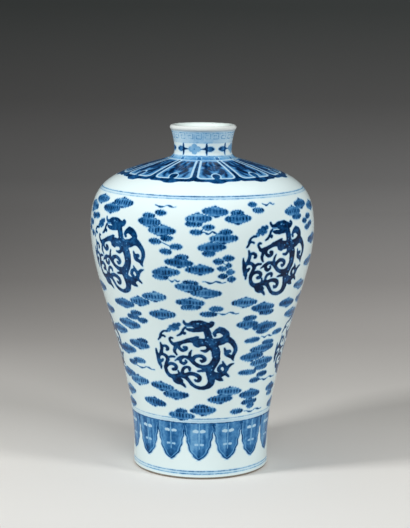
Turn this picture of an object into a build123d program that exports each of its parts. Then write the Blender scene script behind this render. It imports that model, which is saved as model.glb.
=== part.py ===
"""Meiping vase: three thrown clay sections luted together with slip, then glazed.

Millimetres, +Z up. The foot ring rests on z = 0 and the axis of the vase is the Z axis.
Every outline is drawn as a half section, x = radius and y = height, and turned about Z.
"""
from build123d import *
from math import cos, radians, sin
import os

# Wall of the vase: clay between two coats of glaze
CLAY = 4.4
GLAZE = 0.5
WALL = CLAY + 2 * GLAZE

# Foot ring, recess under the base and floor inside
FOOT_RADIUS = 67.2
FOOT_BEVEL = 0.8
BARE_HEIGHT = 2.2
RIM_WIDTH = 7.6
RECESS_DEPTH = 6.0
RECESS_ROUND = 3.0
BASE_CLAY = 6.0
FLOOR_ROUND = 9.0
FOOT_RUN = 2.0
BARE_RADIUS = FOOT_RADIUS - GLAZE
RECESS_RADIUS = BARE_RADIUS - 2 * FOOT_BEVEL - RIM_WIDTH - GLAZE
FLOOR_HEIGHT = RECESS_DEPTH + BASE_CLAY + 2 * GLAZE
HEEL_HEIGHT = FLOOR_HEIGHT + FLOOR_ROUND
FOOT_STRAIGHT = HEEL_HEIGHT + FOOT_RUN

# Outside of the glazed body, each stage measured from the one below it
FLARE_RISE = 46.0
FLARE_OUT = 4.6
WAIST_RISE = 100.0
WAIST_OUT = 25.0
BELLY_RISE = 68.0
BELLY_OUT = 13.5
SHOULDER_RISE = 41.2
SHOULDER_IN = 10.7
COLLAR_RISE = 20.8
COLLAR_IN = 38.9
ROOT_RISE = 7.6
ROOT_SLOPE = 15.0
FLARE_HEIGHT = FOOT_STRAIGHT + FLARE_RISE
WAIST_HEIGHT = FLARE_HEIGHT + WAIST_RISE
BELLY_HEIGHT = WAIST_HEIGHT + BELLY_RISE
SHOULDER_HEIGHT = BELLY_HEIGHT + SHOULDER_RISE
COLLAR_HEIGHT = SHOULDER_HEIGHT + COLLAR_RISE
ROOT_HEIGHT = COLLAR_HEIGHT + ROOT_RISE
FLARE_RADIUS = FOOT_RADIUS + FLARE_OUT
WAIST_RADIUS = FLARE_RADIUS + WAIST_OUT
BELLY_RADIUS = WAIST_RADIUS + BELLY_OUT
SHOULDER_RADIUS = BELLY_RADIUS - SHOULDER_IN
COLLAR_RADIUS = SHOULDER_RADIUS - COLLAR_IN

# Neck and mouth: a round root and a rolled lip outside, a rounded mouth inside, then a straight bore
NECK_RADIUS = 28.2
NECK_RISE = 7.3
NECK_FLARE = 2.5
NECK_RUN = 17.9
LIP_DEPTH = 7.2
LIP_OVERHANG = 4.5
LIP_ROLL = 2.5
LIP_UNDERCUT = 45.0
ROOT_ACROSS = cos(radians(ROOT_SLOPE))
ROOT_UP = sin(radians(ROOT_SLOPE))
ROOT_ROUND = NECK_RISE / ROOT_ACROSS
ROOT_RADIUS = NECK_RADIUS + ROOT_ROUND * (1 - ROOT_UP)
NECK_HEIGHT = ROOT_HEIGHT + NECK_RISE
HEIGHT = NECK_HEIGHT + NECK_RUN + LIP_DEPTH
CROWN_RADIUS = NECK_RADIUS + LIP_OVERHANG - LIP_ROLL
BORE_RADIUS = NECK_RADIUS - WALL
MOUTH_ROUND = CROWN_RADIUS - BORE_RADIUS
MOUTH_HEIGHT = HEIGHT - MOUTH_ROUND

# Luted seams: a half-thickness lap in the wall with a film of slip all along it
SLIP = 0.8
LAP = 4.0
SEAM_DROP = 17.0
SEAM_MARGIN = 1.5
WAIST_SEAM = WAIST_HEIGHT - SEAM_DROP
NECK_SEAM = ROOT_RADIUS + LAP + SLIP + SEAM_MARGIN
MID_WALL = GLAZE + CLAY / 2

# Points taken along a curve when it is sunk into the wall
SAMPLES = 24

lip_centre = Vector(CROWN_RADIUS, HEIGHT - LIP_ROLL)
lip_start = Vector(LIP_ROLL, 0).rotate(Axis.Z, -LIP_UNDERCUT)
root_centre = Vector(NECK_RADIUS + ROOT_ROUND, NECK_HEIGHT)
root_way = (-ROOT_ACROSS, ROOT_UP)

body_curve = Spline(
    (FOOT_RADIUS, FOOT_STRAIGHT),
    (FLARE_RADIUS, FLARE_HEIGHT),
    (WAIST_RADIUS, WAIST_HEIGHT),
    (BELLY_RADIUS, BELLY_HEIGHT),
    (SHOULDER_RADIUS, SHOULDER_HEIGHT),
    (COLLAR_RADIUS, COLLAR_HEIGHT),
    (ROOT_RADIUS, ROOT_HEIGHT),
    tangents=[(0, 1), root_way],
)
neck_curve = Spline(
    (NECK_RADIUS, NECK_HEIGHT),
    (NECK_RADIUS + NECK_FLARE, HEIGHT - LIP_DEPTH),
    lip_centre + lip_start,
    tangents=[(0, 1), lip_start.rotate(Axis.Z, 90)],
)


def sunk(curve, depth):
    """The curve moved square to itself, into the clay, by depth."""
    spots = [i / SAMPLES for i in range(SAMPLES + 1)]
    points = [curve @ s + (curve % s).rotate(Axis.Z, 90) * depth for s in spots]
    return Spline(*points, tangents=[curve % 0, curve % 1])


def outside(depth):
    """The outside, depth below the glazed surface, from the bare foot up to the lip's crown."""
    radius = FOOT_RADIUS - depth
    return [
        Line((radius, BARE_HEIGHT), (radius, FOOT_STRAIGHT)),
        sunk(body_curve, depth),
        CenterArc(root_centre, ROOT_ROUND + depth, 270 - ROOT_SLOPE, ROOT_SLOPE - 90),
        sunk(neck_curve, depth),
        CenterArc(lip_centre, LIP_ROLL - depth, -LIP_UNDERCUT, 90 + LIP_UNDERCUT),
    ]


def inside(depth):
    """The inside, depth below the glazed surface, from the lip's crown down to the floor's centre."""
    bore = BORE_RADIUS + depth
    wall = FOOT_RADIUS - WALL + depth
    heel = FOOT_RADIUS - WALL - FLOOR_ROUND
    return [
        CenterArc((CROWN_RADIUS, MOUTH_HEIGHT), MOUTH_ROUND - depth, 90, 90),
        Line((bore, MOUTH_HEIGHT), (bore, NECK_HEIGHT)),
        CenterArc(root_centre, ROOT_ROUND + WALL - depth, 180, 90 - ROOT_SLOPE),
        sunk(body_curve, WALL - depth),
        Line((wall, FOOT_STRAIGHT), (wall, HEEL_HEIGHT)),
        CenterArc((heel, HEEL_HEIGHT), FLOOR_ROUND + depth, 0, -90),
        Line((heel, FLOOR_HEIGHT - depth), (0, FLOOR_HEIGHT - depth)),
    ]


def underside(depth):
    """The recess under the base, depth below its glaze, from the centre out to the bare rim."""
    round_radius = RECESS_RADIUS - RECESS_ROUND
    round_height = RECESS_DEPTH - RECESS_ROUND
    wall = RECESS_RADIUS + depth
    return [
        Line((0, RECESS_DEPTH + depth), (round_radius, RECESS_DEPTH + depth)),
        CenterArc((round_radius, round_height), RECESS_ROUND + depth, 90, -90),
        Line((wall, round_height), (wall, BARE_HEIGHT)),
    ]


def coat(side):
    """A coat of glaze: the face between a side's glazed surface and the clay under it."""
    surface = side(0)
    clay = side(GLAZE)
    ends = [Line(surface[0] @ 0, clay[0] @ 0), Line(surface[-1] @ 1, clay[-1] @ 1)]
    return make_face(surface + clay + ends)


def clay_section():
    """All the clay of the vase, with the foot's bare rim."""
    rim_inside = RECESS_RADIUS + GLAZE
    rim = Polyline(
        (rim_inside, BARE_HEIGHT),
        (rim_inside, FOOT_BEVEL),
        (rim_inside + FOOT_BEVEL, 0),
        (BARE_RADIUS - FOOT_BEVEL, 0),
        (BARE_RADIUS, FOOT_BEVEL),
        (BARE_RADIUS, BARE_HEIGHT),
    )
    axis = Line((0, FLOOR_HEIGHT - GLAZE), (0, RECESS_DEPTH + GLAZE))
    return make_face(outside(GLAZE) + inside(GLAZE) + [axis] + underside(GLAZE) + [rim])


def core(depth):
    """Everything that lies deeper in the body than depth, from the axis out."""
    curve = sunk(body_curve, depth)
    top = curve @ 1
    bottom = curve @ 0
    return make_face([curve, Polyline(top, (0, top.Y), (0, bottom.Y), bottom)])


def under_waist_seam(gap):
    """What lies under the waist seam, moved out by gap: the wall, then its lap up the inner half."""
    wall = Rectangle(BELLY_RADIUS, WAIST_SEAM + gap, align=Align.MIN)
    lap = Rectangle(BELLY_RADIUS, WAIST_SEAM + gap + LAP, align=Align.MIN)
    return wall + (lap & core(MID_WALL - gap))


def within_neck_seam(gap):
    """What lies within the neck seam, moved in by gap: the neck, then its flange on the outer half."""
    neck = Rectangle(NECK_SEAM - gap - LAP, HEIGHT, align=Align.MIN)
    flange = Rectangle(NECK_SEAM - gap, HEIGHT, align=Align.MIN)
    return Pos(0, BELLY_HEIGHT) * neck + (Pos(0, BELLY_HEIGHT) * flange - core(MID_WALL - gap))


clay = clay_section()
sections = {
    "lower_body": clay & under_waist_seam(0),
    "waist_lute": clay & (under_waist_seam(SLIP) - under_waist_seam(0)),
    "upper_body": clay - under_waist_seam(SLIP) - within_neck_seam(0),
    "neck_lute": clay & (within_neck_seam(0) - within_neck_seam(SLIP)),
    "neck": clay & within_neck_seam(SLIP),
    "outer_glaze": coat(outside),
    "inner_glaze": coat(inside),
    "base_glaze": coat(underside),
}

os.makedirs("parts", exist_ok=True)
for name, section in sections.items():
    export_step(revolve(Plane.XZ * section, axis=Axis.Z), f"parts/{name}.step")

print(f"height {HEIGHT:.1f}, belly {2 * BELLY_RADIUS:.1f} across, foot {2 * FOOT_RADIUS:.1f} across")
print(f"mouth {2 * (CROWN_RADIUS + LIP_ROLL):.1f} across, bore {2 * BORE_RADIUS:.1f} across")
print(f"bore runs from {NECK_HEIGHT:.2f} to {MOUTH_HEIGHT:.2f}, floor at {FLOOR_HEIGHT:.1f}")
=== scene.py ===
# %% [markdown]
# # A meiping vase in blue and white
# A meiping is a tall vase with a small mouth, wide shoulders and a narrow foot. Its outside is
# painted in cobalt on the raw clay, dipped in clear glaze and fired once, so the blue lies under the
# gloss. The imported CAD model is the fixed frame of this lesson: the clay, the slip in the two seams
# and the coats of glaze. Blender adds what the eye sees, a fine skin of glaze with the painting in
# it, and never moves the frame.

# %% Load the frame
from math import radians, tau

import bpy
import numpy as np
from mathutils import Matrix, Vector


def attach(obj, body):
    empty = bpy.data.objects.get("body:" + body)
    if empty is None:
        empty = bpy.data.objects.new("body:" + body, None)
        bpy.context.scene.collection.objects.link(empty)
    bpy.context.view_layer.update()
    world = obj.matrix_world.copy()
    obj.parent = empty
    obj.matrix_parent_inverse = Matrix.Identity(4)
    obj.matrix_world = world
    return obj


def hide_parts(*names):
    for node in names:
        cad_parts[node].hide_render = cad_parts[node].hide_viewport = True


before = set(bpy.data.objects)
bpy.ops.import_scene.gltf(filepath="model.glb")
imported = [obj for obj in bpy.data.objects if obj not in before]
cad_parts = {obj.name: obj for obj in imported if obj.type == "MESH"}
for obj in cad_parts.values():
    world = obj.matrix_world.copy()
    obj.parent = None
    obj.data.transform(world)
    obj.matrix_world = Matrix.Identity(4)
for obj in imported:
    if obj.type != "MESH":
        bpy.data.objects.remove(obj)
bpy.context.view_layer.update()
MM = 0.001

# %% [markdown]
# ## Camera
# The view is that of a long lens a metre and a half away, a little above the mouth and looking
# slightly down. It could be guessed by eye. It was worked out instead from the painted rings, which
# look like ellipses: how open each one is tells how far the lens looks down on it.

# %% Camera
LENS = 106.35
CAMERA_PLACE = (0, -1.530, 0.4488)
LOOKS_DOWN = 9.18
LOOKS_ASIDE = -0.11
LEANS = 0.476

bpy.ops.object.select_all(action="DESELECT")
tilt = (radians(90 - LOOKS_DOWN), 0, radians(LOOKS_ASIDE))
bpy.ops.object.camera_add(location=CAMERA_PLACE, rotation=tilt)
camera = bpy.context.object
camera.rotation_euler.rotate_axis("Z", radians(LEANS))
camera.data.lens = LENS
camera.data.sensor_width = 36
bpy.context.scene.camera = camera
bpy.context.scene.view_settings.view_transform = "Standard"
print("camera at", [round(x, 3) for x in camera.location], "with a lens of", LENS, "mm")

# %% [markdown]
# ## Writing materials as sums
# A material is a net of nodes, and long nets are hard to read. Here a small class stands for one
# value on its way through the net, so that Python's own plus and times add the Math nodes. Everything
# else comes from one method, which takes a node's type, its settings and what goes into its sockets.

# %% Wires and finishes
class Wire:
    """A value on its way through a material: sums of wires add Math nodes."""

    def __init__(self, finish, socket):
        self.finish = finish
        self.socket = socket

    def math(self, operation, *values):
        return self.finish.node("ShaderNodeMath", {"operation": operation}, dict(enumerate(values)))

    def __add__(self, other):
        return self.math("ADD", self, other)

    def __mul__(self, other):
        return self.math("MULTIPLY", self, other)

    def __sub__(self, other):
        return self.math("SUBTRACT", self, other)

    def __rsub__(self, other):
        return self.math("SUBTRACT", other, self)

    __radd__ = __add__
    __rmul__ = __mul__

    def or_more(self, other):
        return self.math("MAXIMUM", self, other)


class Finish:
    """A material on the way to being made."""

    def __init__(self, name):
        self.material = bpy.data.materials.new(name)
        self.material.use_nodes = True
        self.tree = self.material.node_tree
        self.shader = self.tree.nodes["Principled BSDF"]

    def node(self, kind, settings=None, inputs=None, outlet=0):
        made = self.tree.nodes.new(kind)
        for name, value in (settings or {}).items():
            if name == "stops":
                set_stops(made.color_ramp.elements, value)
            else:
                setattr(made, name, value)
        self.feed(made, inputs or {})
        return Wire(self, made.outputs[outlet])

    def feed(self, made, inputs):
        for name, value in inputs.items():
            if isinstance(value, Wire):
                self.tree.links.new(value.socket, made.inputs[name])
            else:
                made.inputs[name].default_value = value


def set_stops(elements, stops):
    """Gives a colour ramp its stops, each a place from 0 to 1 and a colour."""
    while len(elements) < len(stops):
        elements.new(1)
    for element, (place, colour) in zip(elements, stops):
        element.position = place
        element.color = colour


def colour(red, green, blue):
    """A colour given as on a screen, 0 to 255, in the linear light that nodes use."""
    shares = np.array([red, green, blue]) / 255
    linear = np.where(shares < 0.04045, shares / 12.92, ((shares + 0.055) / 1.055) ** 2.4)
    return (*linear.tolist(), 1)

# %% [markdown]
# Three small helpers keep the finishes short: cloudy noise of a given grain in millimetres, a soft
# step from one value to another, and a ramp of colours. The noise reads Object coordinates, because
# every finished piece sits at the origin, so a pattern runs on from one piece to the next without a
# break.

# %% Grain, soft steps and ramps
def grain(finish, size, detail=2, stretch=(1, 1, 1)):
    """Cloudy noise, about 0 to 1, whose lumps are size millimetres across."""
    place = finish.node("ShaderNodeTexCoord", outlet="Object")
    spread = finish.node("ShaderNodeMapping", inputs={"Vector": place, "Scale": stretch})
    inputs = {"Vector": spread, "Scale": 1 / (size * MM), "Detail": detail}
    return finish.node("ShaderNodeTexNoise", inputs=inputs)


def soft_step(finish, value, off, on):
    """0 where the value is at off or beyond, 1 where it is at on or beyond, smooth between."""
    inputs = {"Value": value, "From Min": off, "From Max": on}
    return finish.node("ShaderNodeMapRange", {"interpolation_type": "SMOOTHSTEP"}, inputs)


def ramp(finish, value, stops):
    """The colour that the value picks from the stops."""
    return finish.node("ShaderNodeValToRGB", {"stops": stops}, {0: value})

# %% [markdown]
# ## Stage
# A pale studio sweep: a floor that curves up into a backdrop with no corner. By hand one adds a plane
# and pulls its far edge up in short steps, and the same is done here. The curve starts two metres
# behind the vase, so that the camera can go all the way round it. Its grey is painted light: a painted
# falloff that is palest round the vase, darker towards the front and deeper with height, and painted
# paler to the right, as the light falls there. The grey keeps the white shoulders apart from what is
# behind them.

# %% Floor and backdrop
SWEEP_HALF = 3.0
SWEEP_START = 2.0
SWEEP_ROUND = 0.9
SWEEP_STEPS = 24

bpy.ops.object.select_all(action="DESELECT")
bpy.ops.mesh.primitive_plane_add(size=2 * SWEEP_HALF, location=(0, SWEEP_START - SWEEP_HALF, 0))
sweep = bpy.context.object
sweep.name = "studio_sweep"
bpy.ops.object.transform_apply()
bpy.ops.object.mode_set(mode="EDIT")
bpy.ops.mesh.select_mode(type="EDGE")
bpy.ops.mesh.select_all(action="DESELECT")
bpy.ops.object.mode_set(mode="OBJECT")
for edge in sweep.data.edges:
    edge.select = all(sweep.data.vertices[i].co.y > SWEEP_START - MM for i in edge.vertices)
bpy.ops.object.mode_set(mode="EDIT")
turns = np.linspace(0, tau / 4, SWEEP_STEPS + 1)
path = [(SWEEP_ROUND * np.sin(a), SWEEP_ROUND * (1 - np.cos(a))) for a in turns]
path.append((SWEEP_ROUND, SWEEP_ROUND + 2 * SWEEP_HALF))
for (y0, z0), (y1, z1) in zip(path, path[1:]):
    step = (0, y1 - y0, z1 - z0)
    bpy.ops.mesh.extrude_region_move(TRANSFORM_OT_translate={"value": step})
bpy.ops.object.mode_set(mode="OBJECT")
bpy.ops.object.shade_smooth()
print("sweep of", len(sweep.data.polygons), "faces")

# %% Sweep finish
PAPER_START = -0.5
PAPER_END = 3.5
PAPER_DRIFT = 0.04
# Painted light: the paper is painted paler to the right, a little on the floor and more on the wall
FLOOR_PAINTED_LIGHT_LEAN = 0.15
WALL_PAINTED_LIGHT_LEAN = 0.5
# Painted falloff of light: darker at the very front, palest round the vase, deepening up the wall
PAPER_PAINTED_FALLOFF = [
    (0, colour(160, 159, 156)), (0.075, colour(224, 223, 219)), (0.125, colour(227, 225, 220)),
    (0.1825, colour(205, 203, 198)), (0.272, colour(184, 181, 177)), (0.394, colour(174, 171, 168)),
    (0.5875, colour(187, 185, 183)), (0.63, colour(188, 186, 184)), (0.704, colour(154, 153, 152)),
    (0.8275, colour(112, 112, 111)), (0.939, colour(81, 85, 84)),
]


def place_along(finish, axis):
    """How far a point is along an axis, in metres."""
    place = finish.node("ShaderNodeTexCoord", outlet="Object")
    return finish.node("ShaderNodeSeparateXYZ", inputs={0: place}, outlet=axis)


def mixed(finish, share, under, over, blend="MIX"):
    """One colour mixed over another by a share from 0 to 1."""
    settings = {"data_type": "RGBA", "blend_type": blend}
    return finish.node("ShaderNodeMix", settings, {0: share, 6: under, 7: over}, outlet=2)


paper = Finish("studio_paper")
along = place_along(paper, "Y") + place_along(paper, "Z") + (grain(paper, 300) - 0.5) * PAPER_DRIFT
share = (along - PAPER_START) * (1 / (PAPER_END - PAPER_START))
on_wall = soft_step(paper, along, 0.3, 0.8) * soft_step(paper, along, 3.2, 1.2)
# Painted light: the paper's colour is made paler to the right, as if more light fell there
painted_light_lean = 1 + place_along(paper, "X") * (FLOOR_PAINTED_LIGHT_LEAN + on_wall * WALL_PAINTED_LIGHT_LEAN)
painted_falloff_tone = mixed(paper, 1, ramp(paper, share, PAPER_PAINTED_FALLOFF), painted_light_lean, "MULTIPLY")
paper.feed(paper.shader, {"Base Color": painted_falloff_tone, "Roughness": 0.9})
sweep.data.materials.append(paper.material)
print("paper of", len(PAPER_PAINTED_FALLOFF), "tones, from", PAPER_START, "to", PAPER_END, "m along the sweep")

# %% [markdown]
# ## Light
# Porcelain is lit softly, so that the glaze shows its gloss in a few small glints and the painting
# stays readable. A small soft box high on the left throws the shadow, a weaker one on the right opens
# it, and a large one in front, above the camera, lights the painting evenly. Two faint ones overhead
# give the glints on the shoulder, and the room itself gives the rest.

# %% Soft boxes and room light
LAMP_AIM = Vector((0, 0, 0.2))
ROOM_LIGHT = 0.15


def soft_box(name, place, size, power, mirrored=False):
    """A square lamp aimed at the belly. Only a mirrored one shows in the gloss of the glaze."""
    bpy.ops.object.light_add(type="AREA", location=place)
    lamp = bpy.context.object
    lamp.name = name
    lamp.visible_glossy = mirrored
    lamp.data.size = size
    lamp.data.energy = power
    aim = LAMP_AIM - lamp.location
    lamp.rotation_euler = aim.to_track_quat("-Z", "Y").to_euler()
    print(name, "of", power, "W at", [round(x, 2) for x in place])


bpy.ops.object.select_all(action="DESELECT")
soft_box("key_light", (-1.28, -0.68, 1.22), size=0.3, power=21)
soft_box("fill_light", (1.69, -1.03, 1.35), size=0.45, power=19)
soft_box("front_light", (0.4, -2.15, 1.5), size=1.4, power=24)
soft_box("top_light_left", (-0.4, 0.2, 1.6), size=0.7, power=1.4, mirrored=True)
soft_box("top_light_right", (0.45, 0.2, 1.6), size=0.7, power=1.4, mirrored=True)

world = bpy.context.scene.world or bpy.data.worlds.new("room")
bpy.context.scene.world = world
world.use_nodes = True
room = world.node_tree.nodes["Background"]
room.inputs["Color"].default_value = (1, 1, 1, 1)
room.inputs["Strength"].default_value = ROOM_LIGHT
print("room light of", ROOM_LIGHT)

# %% [markdown]
# ## The potter's profile
# A vase is turned, so one curve says it all: how far from the axis the surface is at each height. The
# curve could be drawn again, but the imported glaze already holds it. Its outer points are read, sorted
# from foot to lip and thinned out, and each gets its distance along the curve from the foot, which is
# the painter's measure of height.

# %% Read the profile
THIN_TO = 0.3
UP_SHARE = 0.5

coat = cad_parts["outer_glaze"].data
points = np.empty(3 * len(coat.vertices), np.float32)
facing = np.empty(3 * len(coat.vertices), np.float32)
coat.vertices.foreach_get("co", points)
coat.vertices.foreach_get("normal", facing)
points = points.reshape(-1, 3).astype(float) / MM
facing = facing.reshape(-1, 3)
far_out = np.hypot(points[:, 0], points[:, 1])
outward = (facing[:, :2] * points[:, :2]).sum(1) / far_out + UP_SHARE * facing[:, 2]
outer = np.flatnonzero(outward > 0)
outer = outer[np.argsort(points[outer, 2])]
curve = np.column_stack([far_out[outer], points[outer, 2]])

kept = [curve[0]]
for spot in curve:
    if np.hypot(*(spot - kept[-1])) > THIN_TO:
        kept.append(spot)
kept[-1] = curve[-1]
PROFILE_RADIUS, PROFILE_HEIGHT = np.array(kept).T
steps = np.hypot(np.diff(PROFILE_RADIUS), np.diff(PROFILE_HEIGHT))
PROFILE_RISE = np.concatenate([[0], np.cumsum(steps)])
print(len(kept), "points, foot to crown", round(PROFILE_RISE[-1], 1), "mm along the curve")

# %% [markdown]
# ## A skin of glaze
# The outside is lathed anew in seven bands, because the painting needs a finer mesh than the frame
# has: points about two thirds of a millimetre apart. Each band is a thin closed ring, glaze on the
# outside and clay side behind. As by hand, a plane is merged to one point, the point is extruded
# along the section, and a Screw modifier turns the section once round the axis. Spin would do as
# well, but the modifier closes its own seam.

# %% A lathe
MERGE = 0.005 * MM
CREASE = radians(40)
SLOPE_SPAN = 0.5


def lathe(name, section, columns):
    """Turns a closed section, points of radius and height in millimetres, once round the axis."""
    bpy.ops.object.select_all(action="DESELECT")
    bpy.ops.mesh.primitive_plane_add(size=MM)
    piece = bpy.context.object
    piece.name = name
    bpy.ops.object.mode_set(mode="EDIT")
    bpy.ops.mesh.select_mode(type="VERT")
    bpy.ops.mesh.merge(type="CENTER")
    path = np.vstack([section, section[:1]]) * MM
    bpy.ops.transform.translate(value=(path[0][0], 0, path[0][1]))
    for (r0, z0), (r1, z1) in zip(path, path[1:]):
        step = (r1 - r0, 0, z1 - z0)
        bpy.ops.mesh.extrude_vertices_move(TRANSFORM_OT_translate={"value": step})
    bpy.ops.mesh.select_all(action="SELECT")
    bpy.ops.mesh.remove_doubles(threshold=MERGE)
    bpy.ops.object.mode_set(mode="OBJECT")
    bpy.ops.object.modifier_add(type="SCREW")
    turned = piece.modifiers[-1]
    turned.steps = turned.render_steps = columns
    turned.use_merge_vertices = True
    turned.merge_threshold = MERGE
    bpy.ops.object.modifier_apply(modifier=turned.name)
    bpy.ops.object.mode_set(mode="EDIT")
    bpy.ops.mesh.select_all(action="SELECT")
    bpy.ops.mesh.remove_doubles(threshold=MERGE)
    bpy.ops.mesh.normals_make_consistent(inside=False)
    bpy.ops.object.mode_set(mode="OBJECT")
    bpy.ops.object.shade_smooth_by_angle(angle=CREASE)
    return piece


def radius_at(rise):
    """The radius of the outside at a distance along the profile."""
    return np.interp(rise, PROFILE_RISE, PROFILE_RADIUS)


def height_at(rise):
    """The height of the outside at a distance along the profile."""
    return np.interp(rise, PROFILE_RISE, PROFILE_HEIGHT)


def under_glaze(rise, depth):
    """Points depth millimetres under the outside, at these distances along the profile."""
    ahead, behind = rise + SLOPE_SPAN, rise - SLOPE_SPAN
    dr = radius_at(ahead) - radius_at(behind)
    dz = height_at(ahead) - height_at(behind)
    long = np.hypot(dr, dz)
    return np.column_stack([radius_at(rise) - depth * dz / long, height_at(rise) + depth * dr / long])

# %% Lathe the bands
SKIN = 0.45
COARSER = 12
LIP_END = PROFILE_RISE[-1]
# Each band's lower and upper end along the profile, its rows of faces and its columns round the vase
BANDS = {
    "glaze_foot": (0, 60.6, 93, 900),
    "glaze_low_body": (60.6, 115.8, 84, 1000),
    "glaze_waist": (115.8, 171.0, 84, 1000),
    "glaze_belly": (171.0, 226.2, 84, 1000),
    "glaze_high_belly": (226.2, 281.4, 84, 1000),
    "glaze_shoulder": (281.4, 357.4, 110, 800),
    "glaze_neck": (357.4, LIP_END, 76, 380),
}

skins = {}
for name, (low, high, rows, columns) in BANDS.items():
    outside = under_glaze(np.linspace(low, high, rows + 1), 0)
    clay_side = under_glaze(np.linspace(high, low, rows // COARSER + 1), SKIN)
    skins[name] = lathe(name, np.vstack([outside, clay_side]), columns)
    print(name, len(skins[name].data.polygons), "faces")

# %% [markdown]
# ## The painter's canvas
# Cobalt painting is line and wash: a fine dark outline, then paler blue filled in with a full soft
# brush, and white that is left bare or scraped back. It could be a picture wrapped round the vase.
# Here it is drawn as real strokes on the surface: each point of a skin learns how far it is, in
# millimetres, from the edge of the nearest stroke, below zero inside it. The finish then turns that
# distance into an edge, so lines stay sharp between the points.

# %% Canvas
FAR = 3.0
UNPAINTED_BLUE = 0.5
LAYERS = ("ink", "wash", "fade")


class Canvas:
    """The points of a skin, each with its distance from an edge and its depth of blue in each layer."""

    def __init__(self, skin):
        self.mesh = skin.data
        flat = np.empty(3 * len(self.mesh.vertices), np.float32)
        self.mesh.vertices.foreach_get("co", flat)
        x, y, z = flat.reshape(-1, 3).T.astype(float) / MM
        self.turn = np.degrees(np.arctan2(x, -y))
        self.rise = np.interp(z, PROFILE_HEIGHT, PROFILE_RISE)
        self.radius = np.hypot(x, y)
        self.edge = {layer: np.full(x.shape, FAR) for layer in LAYERS}
        self.blue = {layer: np.full(x.shape, UNPAINTED_BLUE) for layer in LAYERS}

    def near(self, turn, rise, across, up):
        """The points round a spot, and how far each is across and up from it."""
        high = np.flatnonzero(np.abs(self.rise - rise) < up)
        away = np.radians((self.turn[high] - turn + 180) % 360 - 180) * self.radius[high]
        close = np.abs(away) < across
        spots = high[close]
        return spots, away[close], self.rise[spots] - rise

    def lay(self, layer, spots, edge, blue):
        """Lays one stroke's edge over a layer, where it is nearer than what is there."""
        edge = np.clip(edge, -FAR, FAR)
        nearer = edge < self.edge[layer][spots]
        self.edge[layer][spots[nearer]] = edge[nearer]
        self.blue[layer][spots[nearer]] = np.broadcast_to(blue, edge.shape)[nearer]

    def keep(self):
        """Writes the layers to the mesh, where the finish reads them."""
        for layer in LAYERS:
            for name, values in ((layer, self.edge[layer]), (layer + "_blue", self.blue[layer])):
                made = self.mesh.attributes.new(name, "FLOAT", "POINT")
                made.data.foreach_set("value", values.astype(np.float32))

# %% [markdown]
# ## The brush
# A brush stroke swells and tapers as the hand presses and lifts. It is given as a few knots, each a
# place and half the stroke's width there, and a smooth curve runs through them. The distance from a
# point to the stroke is the least distance to the curve's short pieces, less the width there.

# %% Brush
BRUSH_STEPS = 5
TINY = 1e-9


def flow(knots):
    """A smooth run of points through the knots."""
    knots = np.array(knots, float)
    knots = np.vstack([2 * knots[0] - knots[1], knots, 2 * knots[-1] - knots[-2]])
    t = np.linspace(0, 1, BRUSH_STEPS, endpoint=False)[:, None]
    spans = []
    for a, b, c, d in zip(knots, knots[1:], knots[2:], knots[3:]):
        bend = (2 * a - 5 * b + 4 * c - d) * t**2 + (3 * b - 3 * c + d - a) * t**3
        spans.append(b + ((c - a) * t + bend) / 2)
    return np.vstack([*spans, knots[-2]])


def brush(u, v, knots):
    """How far each point is from the edge of a stroke, below zero inside it."""
    path = flow(knots)
    low = path[:, :2].min(0) - FAR - 1
    high = path[:, :2].max(0) + FAR + 1
    close = np.flatnonzero((u > low[0]) & (u < high[0]) & (v > low[1]) & (v < high[1]))
    x, y = u[close], v[close]
    least = np.full(x.shape, FAR)
    for (u0, v0, w0), (u1, v1, w1) in zip(path, path[1:]):
        du, dv = u1 - u0, v1 - v0
        t = np.clip(((x - u0) * du + (y - v0) * dv) / max(du * du + dv * dv, TINY), 0, 1)
        least = np.minimum(least, np.hypot(x - u0 - t * du, y - v0 - t * dv) - w0 - t * (w1 - w0))
    edge = np.full(u.shape, FAR)
    edge[close] = least
    return edge


def dabs(u, v, places):
    """How far each point is from the edge of the nearest round dab, each a place and a radius."""
    return np.min([np.hypot(u - across, v - up) - size for across, up, size in places], axis=0)


def outline(edge, inset, half):
    """A line drawn inset millimetres within an edge, half its width to each side."""
    return np.abs(edge + inset) - half

# %% [markdown]
# ## Dragon roundels
# Each roundel is an archaic dragon curled into a disc: a horned head at the top, a trunk that runs
# down the right, and a tail and limbs that end in scrolls and flames. It is painted almost solid, in
# the darkest blue. The strokes are listed limb by limb, in millimetres from the middle of the disc.

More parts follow.
